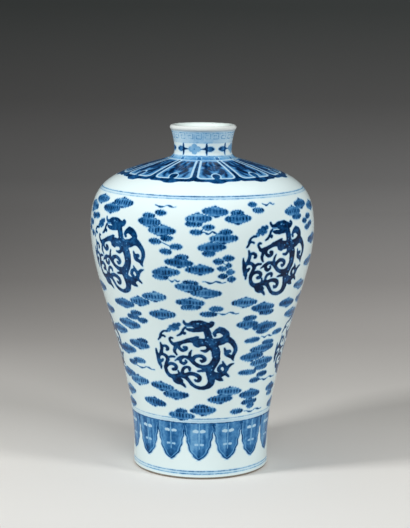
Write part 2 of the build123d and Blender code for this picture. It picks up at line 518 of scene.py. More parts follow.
# %% Dragon strokes
DRAGON = {
    "head": [
        [(-9.8, 34.4, 0.9), (-9.4, 32.8, 1.2), (-7.8, 31.4, 1.3), (-4.5, 31.2, 1.6), (-1, 32.6, 2.2),
         (3, 33.2, 2.2), (7, 32.8, 2.6), (11, 30.8, 3), (14.5, 30.2, 2.4), (17, 31.2, 1.7),
         (17.9, 32.8, 1.1), (16.7, 34, 0.7), (15.4, 33.6, 0.5)],
        [(-0.4, 31.4, 3.2), (5, 30.8, 4.5), (10, 29, 4.4)],
        [(-6.8, 26.2, 0.9), (-3.5, 25.4, 1.7), (0.5, 25.2, 2), (5, 26.2, 2.6), (9.5, 27, 2.8)],
        [(-8.2, 28.2, 0.7), (-10.2, 26, 0.8), (-11.2, 23.5, 0.9), (-13.2, 20.6, 0.9),
         (-16.2, 18.7, 0.5)],
        [(-10.8, 24.8, 0.7), (-10.6, 22.8, 0.9), (-9.5, 21.7, 1.3)],
    ],
    "neck and trunk": [
        [(10.6, 28, 3.4), (12.4, 23, 3.2), (13.4, 18, 3.4), (14.8, 12.5, 4.2), (18, 7.5, 4.2),
         (20.2, 3.5, 4.3), (20.8, -0.5, 4.5), (20.5, -5.5, 3.8), (18, -10.5, 3.8), (15.2, -14.8, 4),
         (14.2, -19.2, 3.8), (15.2, -24, 3.6), (15.5, -28.8, 3.4), (14.2, -32.7, 2.9), (11, -35.2, 2.3),
         (6.2, -36.3, 1.8), (1.2, -35.2, 1.7), (-2.8, -32.6, 1.6), (-5.4, -29.2, 1.6),
         (-7.8, -26.2, 1.8), (-10.5, -23.7, 2)],
    ],
    "tail": [
        [(-10.5, -23.7, 2), (-14, -23.2, 1.8), (-18.2, -24.4, 1.8), (-22.8, -24.8, 1.8),
         (-26.4, -22.8, 1.6), (-28.4, -19, 1.4), (-29, -15, 1.3), (-28, -11, 1.3), (-26.6, -7.8, 1.4),
         (-27.4, -4.8, 1.4), (-30, -2.8, 1.3), (-33, -2.4, 1.3), (-35.4, -4, 1.3), (-36.4, -7, 1.3),
         (-35.2, -9.8, 1.5), (-32.8, -9.4, 1.2), (-31.8, -8, 0.9)],
        [(-38.8, 2.4, 0.4), (-37.9, -1.8, 1.1), (-36.6, -7, 1.3), (-35.3, -12, 1.6), (-34, -15, 1.1),
         (-33.7, -17.7, 0.4)],
        [(-33.9, 9.6, 0.4), (-32.9, 6.5, 1), (-32.6, 3, 1.3), (-33.6, -1.2, 1.4)],
        [(-32.2, 4.8, 0.8), (-31.4, 6.4, 0.9), (-29.2, 6.9, 1), (-26.9, 5.8, 1.2), (-26.2, 3.9, 1.3),
         (-27.2, 2.8, 0.9)],
        [(-28.6, -15.5, 1.1), (-26.5, -13, 1.2), (-23.5, -11.7, 1.3), (-20.4, -12.1, 1.4),
         (-18.3, -14.2, 1.5), (-18.9, -16.8, 1.5), (-21, -17.2, 1.3)],
        [(-26.3, -8, 0.9), (-25.4, -5.4, 0.8), (-22.8, -4, 0.9), (-19.4, -4.1, 0.5)],
    ],
    "foreleg": [
        [(15.2, 11, 3.4), (11, 12, 3.6), (6.2, 12.2, 4), (2, 13.4, 3.6), (-2, 14.5, 2.8), (-6, 14, 2.3),
         (-10, 12.6, 1.9), (-14, 11.1, 1.9), (-18, 9.6, 2), (-21, 9.8, 1.6), (-23, 12, 1.3),
         (-24, 14.4, 1.2), (-23, 16.1, 1.1), (-21.2, 15.8, 0.8)],
        [(3.2, 9.8, 2.8), (1.4, 10.4, 2.6)],
        [(3, 12, 3.4), (11, 12.2, 3.6), (19, 12.2, 3.8), (25.2, 13.4, 3.6), (29.6, 15.2, 3.4)],
        [(-1.4, 15.6, 1.2), (1.4, 17.4, 1), (3.7, 18, 0.4)],
        [(-14.2, 10.5, 1.3), (-15.1, 7.5, 1.2), (-14, 4.8, 1.2), (-11, 3.4, 1.2), (-8.3, 4.7, 1.4),
         (-8, 6.5, 1.1), (-10, 6.8, 1.1)],
        [(-17.8, 8.8, 1.5), (-18.8, 5.2, 1.4), (-19.2, 1.8, 1.1), (-17.3, -1.7, 0.4)],
        [(13.2, 8.5, 2), (12.8, 5.2, 1.4), (10, 3.1, 1.3), (6.3, 3.6, 0.5)],
    ],
    "mane": [
        [(16.2, 10.5, 3), (21, 12, 3), (25.2, 13, 3.4), (29.2, 14.8, 3.2), (33.2, 14.4, 3),
         (36.6, 11.4, 2.5), (39.1, 7.4, 2.1), (39.6, 3, 1.9), (38.1, -1.2, 1.5), (36.4, -5, 1.3),
         (37.4, -7.7, 0.5)],
        [(24, 27.9, 0.4), (26.2, 25.8, 1.4), (29.4, 23, 2.3), (31.8, 21.3, 1.4), (31.4, 18.2, 1.8),
         (28.2, 16, 2.4)],
        [(29.5, 21.5, 2.8), (27.4, 24, 3.2), (24.2, 25, 2.9), (21, 23.9, 2), (19, 21.6, 1.5),
         (19.6, 19.6, 1.3)],
        [(28.8, 5.7, 0.4), (29.6, 1.8, 1.1), (30.8, -1.2, 1.6), (34, -3, 1.5), (36.8, -4.8, 1)],
        [(33.6, 2.2, 1.4), (31.4, 1.6, 1.4), (30.2, 0, 1.1)],
    ],
    "right leg": [
        [(16.2, -21.2, 3.2), (20.2, -23.2, 3.1), (25.2, -22.4, 2.5), (29.1, -19.4, 1.7),
         (31.6, -15.5, 1.5), (34.2, -12.8, 1.3), (37.8, -11.2, 0.4)],
        [(30.2, -17, 1.2), (28.6, -13.6, 1.2), (26, -12.5, 1.2), (23.7, -14.4, 1.3), (23, -17, 1.5),
         (24.6, -18.4, 1)],
        [(26.9, -8.7, 0.4), (28.1, -11.5, 0.9), (29.4, -14.2, 1.1)],
        [(28.8, -20.8, 1.2), (31, -23, 1), (32.9, -24.9, 0.4)],
        [(19, -23.2, 2.8), (23, -26.4, 2.4), (26.7, -28.6, 0.6)],
    ],
    "hind leg": [
        [(15.2, -13.6, 3), (10.2, -14, 2.2), (5, -13.1, 1.8), (1.1, -11.1, 1.7), (-2, -8.1, 1.7),
         (-5, -5.1, 1.5), (-8.2, -3.6, 1.3), (-12, -3.6, 1.3), (-15.5, -5.5, 1.2), (-19, -8, 0.4)],
        [(-12, -4.2, 1.1), (-13.7, -6.6, 1.1), (-13, -9.4, 1.2), (-10.5, -10.6, 1.2), (-8.1, -8.8, 0.9),
         (-8.8, -7.2, 0.5)],
        [(-2.9, 3.7, 0.4), (-4.2, 0.9, 0.9), (-4.8, -2.1, 1.2), (-4.2, -5.2, 1.4)],
        [(-1.8, -5.8, 1.5), (0.6, -3, 1.5), (4.8, -2, 1.4), (8.4, -3.5, 1.5), (9.5, -6, 1.5),
         (7.2, -8, 1.1), (5.7, -7, 0.7)],
        [(10.6, -17.2, 1.5), (6, -18, 0.9), (2.8, -18.4, 0.4)],
    ],
    "curls at the bottom": [
        [(-10, -24.2, 1.5), (-7.5, -22.1, 1.5), (-3, -21.2, 1.6), (1.5, -22.5, 1.7), (4.2, -25, 1.8),
         (3.9, -28, 1.6), (1.5, -28.9, 1.1), (0.2, -27.6, 0.7)],
        [(-11.3, -23.2, 1.3), (-12, -19.2, 1.1), (-10.5, -15.6, 1.1), (-7.5, -14.2, 1.1),
         (-5.2, -15.3, 1.2), (-5, -17, 0.9)],
        [(-13.8, -23.6, 1.1), (-15.4, -20.6, 0.7), (-16.2, -18.6, 0.3)],
        [(-21.5, -26.8, 0.9), (-19.5, -29.5, 1.5), (-16.5, -31, 1.7), (-13.5, -31.6, 1.4),
         (-11, -33.6, 1), (-9.4, -35.7, 0.4)],
        [(-18.2, -28.4, 1.1), (-15, -27.5, 1.1), (-13, -29.2, 1.1), (-13.4, -31, 0.9)],
    ],
    "flame by the cloud": [
        [(-26.4, 23, 0.7), (-30, 22.5, 0.6), (-32.4, 20.6, 0.7), (-33.5, 18, 0.8), (-34.2, 15.5, 0.8),
         (-35.9, 12.9, 0.4)],
        [(-33.2, 17.8, 0.6), (-30.4, 17.6, 0.6), (-28.9, 16.8, 0.5)],
    ],
}
DRAGON_PALE = [
    [(2.8, 32.2, 0.8), (4, 32.3, 0.8)],
    [(6.4, 31.6, 0.6), (6.8, 31.6, 0.6)],
    [(12.1, 12.9, 0.6), (12.7, 12.7, 0.6)],
    [(16.2, 15.8, 0.5), (16.6, 15.6, 0.5)],
    [(-8.2, 29.2, 0.7), (-5.5, 29, 0.8), (-2.2, 29.2, 0.7)],
]
DRAGON_FLECKS = [
    (11, 13.6), (7.6, 12.2), (14.5, 10), (17.5, 15.2), (12.6, 17.5), (20.5, 12.5), (21, 6), (19.5, -3),
    (17, -13), (15, -22), (16, -17),
]
WISP = [
    (-24.6, 24.4, 1.9), (-22.4, 27.2, 2.3), (-18.8, 29.4, 2.4), (-15, 30.6, 1.9), (-19.6, 25.4, 2),
    (-16.2, 26.8, 1.7),
]
print(sum(len(limb) for limb in DRAGON.values()), "strokes to a dragon")

# %% Roundel
ROUNDEL_ACROSS = 46
ROUNDEL_UP = 42
SPREAD = ([1.5, 4], [0.4, 0.05])
POOLED = ([0.6, 2.8], [1, 0.9])
MELT = 0.45
MELT_REACH = 2.4
FLECK = 0.7


def melted(edges):
    """The edge of strokes that flow into one another where they cross."""
    near = sum(np.maximum(np.exp(-edge / MELT) - np.exp(-MELT_REACH / MELT), 0) for edge in edges)
    return -MELT * np.log(np.maximum(near, np.exp(-FAR / MELT)))


def roundel(canvas, turn, rise, blue):
    """A dragon curled into a disc, with a wisp of cloud at its brow."""
    spots, u, v = canvas.near(turn, rise, ROUNDEL_ACROSS, ROUNDEL_UP)
    strokes = {}
    for limb, paths in DRAGON.items():
        part = "head" if limb == "head" else "body"
        for knots in paths:
            widest = max(width for across, up, width in knots)
            strokes.setdefault(part, []).append(brush(u, v, knots) - np.interp(widest, *SPREAD))
    for edge in (np.min(strokes["head"], axis=0), melted(strokes["body"])):
        canvas.lay("ink", spots, edge, blue * np.interp(-edge, *POOLED))
    wisp = dabs(u, v, WISP)
    canvas.lay("wash", spots, wisp, 0.6 + 0.03 * (v - 27))
    canvas.lay("ink", spots, outline(wisp, 0.3, 0.5), 0.84)
    for knots in DRAGON_PALE:
        canvas.lay("fade", spots, brush(u, v, knots), 0.42)
    for across, up in DRAGON_FLECKS:
        canvas.lay("fade", spots, np.hypot(u - across, v - up) - FLECK, 0.36)

# %% [markdown]
# ## Clouds
# Between the roundels drift ribbons of small clouds. A full cloud is a lozenge with a scalloped edge,
# a bead at each end and a bump above and below, filled with wash and crossed by a row of short dark
# dashes. Half clouds lean on the full ones, small ones hang together on thin links, and wavering
# tails with two blobs trail between them. One function paints every cloud, from its length and
# height.

# %% Cloud
SCALLOP = 3.1
LOBE = 0.8
# How blunt the ends are, the scallops' pitch, how full the sides are, the wash and the darker outline
FULL = (1.6, SCALLOP, 1.15, 0.62, 0)
SLIM = (1.2, 0.82 * SCALLOP, 1.6, 0.61, 0.08)
PALER_BESIDE_DASH = ([0.2, 1.3], [0, 0.17])
LINK_ACROSS = 12
LINK_UP = 5
TAIL_WIDTHS = (0.4, 0.48, 1, 0.48, 0.44, 0.95, 0.45, 0.4)
TAIL_SWAY = 1.2
TAIL_WAVE = 5.2


def cloud(canvas, turn, rise, half, tall, hand, full=True):
    """A lozenge of cloud, half its length and tall half its height, by a hand that varies a little."""
    spots, u, v = canvas.near(turn, rise, half + 10, tall + 5)
    v = v + hand.uniform(-0.06, 0.06) * u
    blunt, pitch, fullness, wash, darker = FULL if full else SLIM
    straight = half - blunt
    peak = straight * np.where(v > 0, hand.uniform(-0.25, 0.25), hand.uniform(-0.25, 0.25))
    out = np.where(u < peak, (peak - u) / (straight + peak), (u - peak) / (straight - peak))
    swell = blunt + (tall - blunt) * (1 - np.clip(out, 0, 1) ** fullness)
    lobes = LOBE * np.abs(np.sin(np.pi * (u + straight) / pitch))
    cap = np.hypot(np.maximum(np.abs(u) - straight, 0), v) - blunt - 0.1
    edge = np.where(np.abs(u) < straight, 0.88 * (np.abs(v) - swell - lobes), cap)

    count = max(2, round(2 * straight / pitch) + 1)
    places = np.linspace(-straight, straight, count) + hand.uniform(-0.3, 0.3, count)
    reach = (blunt - 0.5) * hand.uniform(0.6, 1.4, count)
    lift = v[:, None] - hand.uniform(-0.4, 0.4, count)
    stroke = np.hypot(u[:, None] - places, lift - np.clip(lift, -reach, reach))
    dashes = (stroke - hand.uniform(0.62, 0.82, count)).min(1)
    blue = wash + hand.uniform(-0.06, 0.06) + hand.uniform(-0.12, 0.12) * u / half
    canvas.lay("wash", spots, edge, blue - np.interp(dashes, *PALER_BESIDE_DASH))
    canvas.lay("ink", spots, outline(edge, 0.3, 0.41), hand.uniform(0.7, 0.82) + darker)
    canvas.lay("ink", spots, dashes, hand.uniform(0.92, 1.06))
    if full:
        knob = np.hypot((u - hand.uniform(-0.8, 0.8)) * 0.8, v - tall - 0.3)
        drop = np.hypot((u - hand.uniform(-0.8, 0.8)) * 0.55, v + tall)
        canvas.lay("ink", spots, np.minimum(knob, drop) - hand.uniform(0.95, 1.2), 0.84)


def cloud_link(canvas, one, other, side):
    """A thin line from one small cloud to the next, if that one is near."""
    (turn_a, rise_a, half_a), (turn_b, rise_b, half_b) = sorted((one, other))
    turn, rise = (turn_a + turn_b) / 2, (rise_a + rise_b) / 2
    apart = radians(turn_b - turn_a) * radius_at(rise) / 2
    lift = (rise_b - rise_a) / 2
    if apart < LINK_ACROSS and abs(lift) < LINK_UP:
        spots, u, v = canvas.near(turn + side, rise, LINK_ACROSS + 12, LINK_UP + 4)
        line = [(half_a - apart - 1, -lift, 0.5), (0, 0, 0.42), (apart - half_b + 1, lift, 0.5)]
        canvas.lay("ink", spots, brush(u, v, line), 0.64)


def cloud_tail(canvas, start, end, rise, hand):
    """A thin wavering line that trails from a cloud, with two blobs on it."""
    half = radians(end - start) / 2 * radius_at(rise)
    spots, u, v = canvas.near((start + end) / 2, rise, half + 3, 5)
    knots = []
    for t, wide in zip(np.linspace(-1, 1, len(TAIL_WIDTHS)), TAIL_WIDTHS):
        sway = TAIL_SWAY * np.sin(TAIL_WAVE * t + hand.uniform(0, 1)) * (1 - 0.4 * abs(t))
        knots.append((half * t, sway, wide))
    canvas.lay("ink", spots, brush(u, v, knots), 0.76)

# %% [markdown]
# Each cloud has its own place: how far it is round the vase in degrees from the front, how far up
# along the profile, and half its length. The far side of the vase repeats the near one, half a turn
# on.

# %% Where the clouds drift
FULL_CLOUDS = [
    (-26.9, 259.5, 11.9), (-20, 252, 13.6), (-11.5, 222.4, 13.6), (-1.3, 216, 13.5),
    (-18.3, 212.4, 13.7), (-6.7, 198.4, 13.2), (2.1, 192.4, 14.6), (-6.2, 182.6, 13.6),
    (-1.9, 264, 12.2), (6.4, 270.6, 12.2), (17.9, 263.6, 12.8), (10.4, 245.6, 13.5), (4.7, 237.4, 13.1),
    (23.9, 181.6, 13.3), (28, 158, 11.6), (35.8, 122.6, 13.7), (21.4, 87.6, 12.7), (14.5, 80, 12.2),
    (1.7, 68.4, 12.5), (-29.5, 91.4, 12.6), (-19, 84, 13), (-38, 73.4, 13.2), (-15.3, 62.4, 12.8),
    (-36.5, 180, 11.5), (-26.5, 186.5, 12.8), (-22.8, 168.6, 13.6), (-45.6, 275, 13.2),
    (-53.7, 268, 13.7), (-66, 275, 14.1), (-75.5, 266.4, 14), (-75, 186, 14), (-49.7, 175, 15),
    (-49.5, 153.6, 16), (-72, 163, 14), (-62.3, 145, 14.4), (-44.2, 133, 13.3), (-59, 124.6, 15.8),
    (-66, 98, 14.6), (-52, 93, 14.6), (-70, 79, 13), (-72, 65, 11), (52.9, 266.4, 12.5),
    (61.9, 272.4, 12.1), (76, 268, 13), (75, 236, 15), (74, 214, 15), (68, 191, 15), (77, 175, 14),
    (57.4, 174.6, 14), (68, 161.6, 16), (36.7, 174.6, 13.8), (41.6, 153.6, 15.7), (43.5, 130, 15.7),
    (46.2, 115, 15.7), (39.7, 82, 13), (66, 83, 10.5), (75, 65, 11),
]
HALF_CLOUDS = [
    (-27.5, 265, 6.4), (-17.3, 245, 6), (-10, 227.6, 6.3), (-21.4, 207.6, 8), (-5.9, 202.6, 7.4),
    (-5.9, 177.6, 9.4), (-4.2, 259, 7.8), (17.5, 269, 6.4), (11.5, 251.4, 6), (3.2, 231.6, 6),
    (28.9, 164.4, 7.3), (0.3, 72, 6.6), (-15.3, 67, 5.8), (-40, 137, 6), (55.5, 261, 7.9), (40, 169, 9),
    (40, 149, 8), (47.5, 135.6, 8.2), (46, 109.4, 9), (40, 74, 9.6),
]
SMALL_CLOUDS = [
    (-21.1, 268.4, 5.6), (-23.3, 241.6, 6.3), (-12.7, 237.6, 6.1), (-18, 232.6, 5.8), (8, 176, 6.5),
    (3.8, 170.6, 8), (3, 256, 5.6), (-3, 251.4, 5.6), (12.9, 227, 5.5), (8, 224, 5), (13.2, 220, 2.9),
    (9.9, 217, 4.6), (14.3, 213.4, 4), (10.6, 209.6, 4.4), (15, 206.4, 4.2), (26.5, 276.5, 4.5),
    (29.3, 270.6, 6), (33.5, 140.4, 8.5), (34, 106, 10.4), (29, 65.6, 6.9), (-67.3, 258, 6.7),
    (-77, 250, 9), (-41, 166.5, 7), (-44, 162, 8), (-36.7, 159.6, 5.9), (-47, 115, 8.5),
    (-55, 111.4, 6.5), (63, 255.6, 5.2), (68, 259, 6.5), (66, 249, 6.5), (70.3, 251.4, 6.2),
    (54.7, 145, 7.8), (48.5, 101.6, 7.5), (42, 96.4, 6.7), (41.5, 69.6, 4.8), (66, 77, 6.5),
    (-78, 262, 5), (-72, 257, 6), (-79, 244, 6), (-73, 240, 5),
]
CLOUD_TAILS = [
    (-24.7, -13.5, 275), (-17, -11.5, 204.5), (8.3, 21, 171), (0, 8.3, 251), (0.5, 12, 203.6),
    (32.5, 40, 276), (40, 50, 142.4), (-51, -34, 108.5), (47, 68, 95), (36, 56, 64),
]
FULL_TALL = (4.2, 4.9)
SLIM_TALL = (2, 2.5)


def drift(canvas, hand):
    """All the clouds, on both sides."""
    for side in (0, 180):
        for turn, rise, half in FULL_CLOUDS:
            cloud(canvas, turn + side, rise, half, hand.uniform(*FULL_TALL), hand)
        for turn, rise, half in HALF_CLOUDS + SMALL_CLOUDS:
            cloud(canvas, turn + side, rise, half, hand.uniform(*SLIM_TALL), hand, full=False)
        for one, other in zip(SMALL_CLOUDS, SMALL_CLOUDS[1:]):
            cloud_link(canvas, one, other, side)
        for start, end, rise in CLOUD_TAILS:
            cloud_tail(canvas, start + side, end + side, rise, hand)

# %% [markdown]
# ## Leaves round the foot
# Upright plantain leaves, here hanging point down, close the painting above the foot. Each has a dark
# outline, a thin pale line within it, a mid-blue wash that darkens to the tip, and a white rib with
# two pairs of blobs.

# %% Leaf
LEAVES = 15
LEAF_TOP = 55.0
LEAF_TIP = 17.4
LEAF_TALL = LEAF_TOP - LEAF_TIP
LEAF_HALF = 15
WAVER = 0.4
LEAF_SIDE = [
    (0, 0), (0.03, 2.8), (0.09, 5.3), (0.2, 8.4), (0.36, 10.8), (0.58, 12.6), (0.72, 13.7), (0.8, 14.5),
    (1, 14.9),
]
LEAF_RIB = [(0.2, 54, 0.4), (-0.1, 42, 0.5), (0.1, 28, 0.38)]
HIGH_PUFFS = [(2.2, 46.2, 1.6), (3.6, 46.6, 1.7), (5, 46.4, 1.5)]
LOW_PUFFS = [(1.9, 32.8, 1.2), (3.5, 32.7, 1.15)]
LEAF_WASH = ([0, 0.12, 0.3, 1], [0.86, 0.64, 0.49, 0.49])
LEAF_SLANT = ([0, 0.1, 0.3, 0.6], [0.5, 0.62, 0.85, 0.98])
WEDGE_FOOT = 45.5
WEDGE = ([WEDGE_FOOT, 50, LEAF_TOP], [0, 0.9, 1.7])
STREAKS = 13


def leaf(canvas, turn, hand):
    """One leaf, point down, and half of the dark wedges beside it."""
    middle = (LEAF_TOP + LEAF_TIP) / 2
    spots, u, v = canvas.near(turn, middle, LEAF_HALF + 1, LEAF_TALL / 2 + 4)
    rise = v + middle
    x = np.abs(u)
    share = np.clip((rise - LEAF_TIP) / LEAF_TALL, 0, 1)
    waver = WAVER * np.sin(share * 28 + hand.uniform(0, 6)) * np.sign(u)
    side = np.interp(share, *zip(*LEAF_SIDE)) + waver
    edge = (x - side) * np.interp(share, *LEAF_SLANT)
    edge = np.maximum(edge, np.maximum(rise - LEAF_TOP, LEAF_TIP - rise))
    apart = radians(180 / LEAVES) * canvas.radius[spots] - x
    lanes = np.linspace(-LEAF_HALF, LEAF_HALF, STREAKS)
    streak = np.interp(u, lanes, hand.uniform(-0.12, 0.12, STREAKS))
    canvas.lay("wash", spots, edge, streak + np.interp(share, *LEAF_WASH))
    canvas.lay("ink", spots, outline(edge, 0.35, 0.55), 0.84)
    wedge = apart - np.interp(rise, *WEDGE)
    canvas.lay("ink", spots, np.maximum(wedge, np.maximum(rise - LEAF_TOP, WEDGE_FOOT - rise)), 0.8)

    inner = np.where(share > 0.93, FAR, outline(edge, 1.6, 0.36))
    canvas.lay("fade", spots, inner, 0.34)
    canvas.lay("fade", spots, brush(u, rise, LEAF_RIB), 0.26)
    for puffs, blue in ((HIGH_PUFFS, 0.16), (LOW_PUFFS, 0.22)):
        for across, up, size in puffs:
            puff = np.hypot(x - across, rise - up) - size * hand.uniform(0.9, 1.1)
            canvas.lay("fade", spots, puff, blue)

# %% [markdown]
# ## The collar of lappets
# Round the root of the neck lies a collar of panels like a ruffled cape. The ground is dark, each
# panel is framed by a white line with rounded corners, and inside it a spray of leaves stands on a
# knob that drops over the edge.

# %% Panel
PANELS = 11
PANEL_REACH = 30
COLLAR_TOP = 357.0
COLLAR_EDGE = 306.6
PANEL_FOOT = 312.4
PANEL_ROUND = 5.0
KNOB_RISE = 317.0
KNOB_WIDE = 3.6
KNOB_TALL = 5.2
BAR_HALF = 3.3
BAR_TAPER = ([310, 355], [1, 0.64])
SPRAY_BLUE = ([-1.4, -0.2, 1, 2.6], [0.95, 0.8, 0.5, 0.4])
PALE_BY_FRAME = ([0.6, 2.4], [0.34, 1])
SPRAY = [
    [(3.4, 321, 1.6), (6.4, 325, 2.8), (7.4, 331, 2.4), (6, 336, 1)],
    [(2.6, 331, 1), (4.2, 336, 2), (3, 341, 1)],
    [(5.4, 338, 1.6), (7, 343, 2.8), (6.2, 349, 2.2), (4, 352, 1)],
    [(0, 330, 0.6), (0, 342, 1.3), (0, 352, 1.2)],
    [(9.6, 316, 0.6), (10.8, 320, 1.3), (11, 326, 0.8)],
]


def panel(canvas, turn, hand):
    """One panel of the collar, out to the middle of the bars beside it."""
    middle = (COLLAR_TOP + COLLAR_EDGE) / 2
    spots, u, v = canvas.near(turn, middle, PANEL_REACH, PANEL_REACH)
    half = radians(180 / PANELS) * canvas.radius[spots]
    own = (np.abs(u) <= half + 0.3) & (v < COLLAR_TOP + 0.3 - middle)
    spots, u, rise, half = spots[own], u[own], v[own] + middle, half[own]
    x = np.abs(u)
    over = rise - COLLAR_TOP
    scallop = 1.6 * np.clip((x - half + 5) / 5, 0, 1) ** 2 - 3 * np.exp(-((u / 7.2) ** 4))
    ground = np.maximum(COLLAR_EDGE + scallop - rise, over)
    beside = x - half + BAR_HALF * np.interp(rise, *BAR_TAPER) + PANEL_ROUND
    below = PANEL_FOOT + PANEL_ROUND - rise
    corner = np.hypot(np.maximum(beside, 0), np.maximum(below, 0))
    field = corner + np.minimum(np.maximum(beside, below), 0) - PANEL_ROUND
    knob = (np.hypot(u / KNOB_WIDE, (rise - KNOB_RISE) / KNOB_TALL) - 1) * KNOB_WIDE

    canvas.lay("ink", spots, np.maximum(ground, -field), 0.9)
    spray = np.full(u.shape, FAR)
    for knots in SPRAY:
        bent = x * hand.uniform(0.9, 1.1) + WAVER * np.sin(rise / 2 + turn) * np.sign(u)
        spray = np.minimum(spray, brush(bent, rise, knots))
    blue = np.minimum(np.interp(spray, *SPRAY_BLUE), np.interp(-field, *PALE_BY_FRAME))
    canvas.lay("wash", spots, np.maximum(field, over), blue)
    canvas.lay("ink", spots, knob, 0.9)
    frame_line = np.where(knob < 0.9, FAR, outline(field, 0, 1.05))
    knob_line = np.where(rise < PANEL_FOOT - 0.6, FAR, outline(knob, -0.8, 0.6))
    canvas.lay("fade", spots, np.maximum(np.minimum(frame_line, knob_line), over), 0.16)

# %% [markdown]
# ## Neck bands and rings
# The neck has a pale band of squared scrolls under the lip and, below it, upright bars with drops
# beside them and florets on white. Thin rings, painted while the vase turned on a wheel, part one
# band from the next. The pale ring along the top of the collar is partly a painted highlight.

# %% Neck band
BAR_RISE = 370.0
BAR_APART = 20.5
BAR_REACH = 10
FLORET_UP = 8
SCROLL_UP = 8
SCROLLS = 22
SCROLL_RISE = 382.2
SCROLL_WIDE = 9.0
SCROLL_LINE = 0.42
SCROLL = [(-4.5, -3.6), (-4.5, 3.4), (3, 3.4), (3, -2.2), (-2.2, -2.2), (-2.2, 1.2), (0.8, 1.2)]
PETALS = [(-3.6, 0, 2.6), (3.6, 0, 2.6), (0, 2.2, 2.9), (0, -2.2, 2.9)]
BAR = [(0, 5.4, 0.6), (0, 2.5, 1.05), (0, 0, 1.2), (0, -2.5, 1.05), (0, -5.6, 0.6)]
DROP = [(1, 0, 1.7), (3.2, 0, 2.4), (5.4, 0, 1.7), (7, 0, 0.7)]
DROP_WASH = ([1, 4, 7], [0.46, 0.6, 0.9])
TICK = [(-0.8, 0, 1.5), (-2.4, 0, 0.8), (-4.6, 0, 0.45)]
STALK = [(6, 0, 0.5), (8.6, 0, 0.45)]


def neck_bar(canvas, turn, side):
    """An upright bar with a drop on one side and a tick on the other."""
    spots, u, v = canvas.near(turn, BAR_RISE, BAR_REACH, BAR_REACH)
    u = u * side
    drop = brush(u, v, DROP)
    canvas.lay("wash", spots, drop, np.interp(u, *DROP_WASH))
    canvas.lay("ink", spots, outline(drop, 0.4, 0.5), 0.86)
    for knots in (BAR, TICK):
        canvas.lay("ink", spots, brush(u, v, knots), 0.9)


def floret(canvas, turn):
    """A pale flower of four petals, with a stalk to each side."""
    spots, u, v = canvas.near(turn, BAR_RISE, BAR_REACH, FLORET_UP)
    petals = dabs(u, v, PETALS)
    canvas.lay("wash", spots, petals, 0.3)
    canvas.lay("ink", spots, outline(petals, 0.3, 0.42), 0.42)
    canvas.lay("ink", spots, np.hypot(u, v) - 0.9, 0.5)
    canvas.lay("ink", spots, brush(np.abs(u), v, STALK), 0.6)


def scrolls(canvas):
    """The band of squared scrolls under the lip."""
    pitch = 360 / SCROLLS
    spots = np.flatnonzero(np.abs(canvas.rise - SCROLL_RISE) < SCROLL_UP)
    u = (canvas.turn[spots] % pitch) / pitch * SCROLL_WIDE - SCROLL_WIDE / 2
    v = canvas.rise[spots] - SCROLL_RISE
    for (u0, v0), (u1, v1) in zip(SCROLL, SCROLL[1:]):
        line = [(u0, v0, SCROLL_LINE), (u1, v1, SCROLL_LINE)]
        canvas.lay("ink", spots, brush(u, v, line), 0.44)

# %% Rings
RINGS = [
    ("wash", 3.0, 6.2, 0.14), ("ink", 2.9, 3.8, 0.5), ("ink", 5.4, 6.3, 0.52),
    ("wash", 55.7, 58.2, 0.13), ("ink", 58.9, 59.8, 0.4),
    ("wash", 282.6, 286.0, 0.14), ("ink", 282.5, 283.5, 0.36), ("ink", 285.1, 286.2, 0.58),
    # The pale ring at 356 to 357.3 is partly the panels' white top line, partly a painted highlight
    ("fade", 356, 357.3, 0.15), ("wash", 357.2, 363.2, 0.36), ("ink", 362.3, 363.3, 0.4),
    ("wash", 376.2, 388.8, 0.18), ("ink", 375.6, 376.6, 0.28),
]
RING_FADES = 0.3


def rings(canvas):
    """The rings that part the bands, each a layer, its lower and upper edge and its depth of blue."""
    everywhere = np.arange(canvas.rise.size)
    fresh = 1 + RING_FADES * np.cos(np.radians(3 * canvas.turn))
    for layer, low, high, blue in RINGS:
        edge = np.abs(canvas.rise - (low + high) / 2) - (high - low) / 2
        canvas.lay(layer, everywhere, edge, blue * fresh)

# %% [markdown]
# ## Painting the vase
# Every skin is painted with the whole design, and takes from it what falls on it. The hand starts
# from the same seed each time, so a cloud that lies across two skins is the same cloud on both.

# %% Paint every skin
ROUNDELS = [(40.8, 223.6, 1.08), (-50.8, 224.4, 0.95), (-4.3, 128.5, 1.0), (85.7, 128.5, 0.95)]
LEAF_TURN = -1.2
PANEL_TURN = 10.2
BAR_TURN = 28
FLORET_TURN = -17
HAND_SEED = 7


def paint(canvas):
    """The whole design."""
    hand = np.random.default_rng(HAND_SEED)
    drift(canvas, hand)
    for turn, rise, blue in ROUNDELS:
        roundel(canvas, turn, rise, blue)
        roundel(canvas, turn + 180, rise, blue)
    for number in range(LEAVES):
        leaf(canvas, LEAF_TURN + 360 / LEAVES * number, hand)
    for number in range(PANELS):
        panel(canvas, PANEL_TURN + 360 / PANELS * number, hand)
    rings(canvas)
    scrolls(canvas)
    for quarter in (0, 90, 180, 270):
        neck_bar(canvas, BAR_TURN - BAR_APART + quarter, 1)
        neck_bar(canvas, BAR_TURN + BAR_APART + quarter, -1)
        floret(canvas, FLORET_TURN + quarter)


for name, skin in skins.items():
    canvas = Canvas(skin)
    paint(canvas)
    canvas.keep()
    print(name, "inked", round(100 * float((canvas.edge["ink"] < 0).mean()), 1), "% of its points")

# %% [markdown]
# ## Painted glaze
# Cobalt under glaze is never one blue. It is nearly black where it pools, breaks into paler specks
# where it was thin, and softens at the edge where the glaze drew it out. The finish turns the
# distances into edges with a little wander, lets noise thin and heap the blue, and picks the colour
# from its depth. Over it lies a smooth gloss.

# %% Layers, relief and putting on
def layer(finish, name):
    """A layer's distance from its edge, and its depth of blue."""
    edge = finish.node("ShaderNodeAttribute", {"attribute_name": name}, outlet="Fac")
    blue = finish.node("ShaderNodeAttribute", {"attribute_name": name + "_blue"}, outlet="Fac")
    return edge, blue


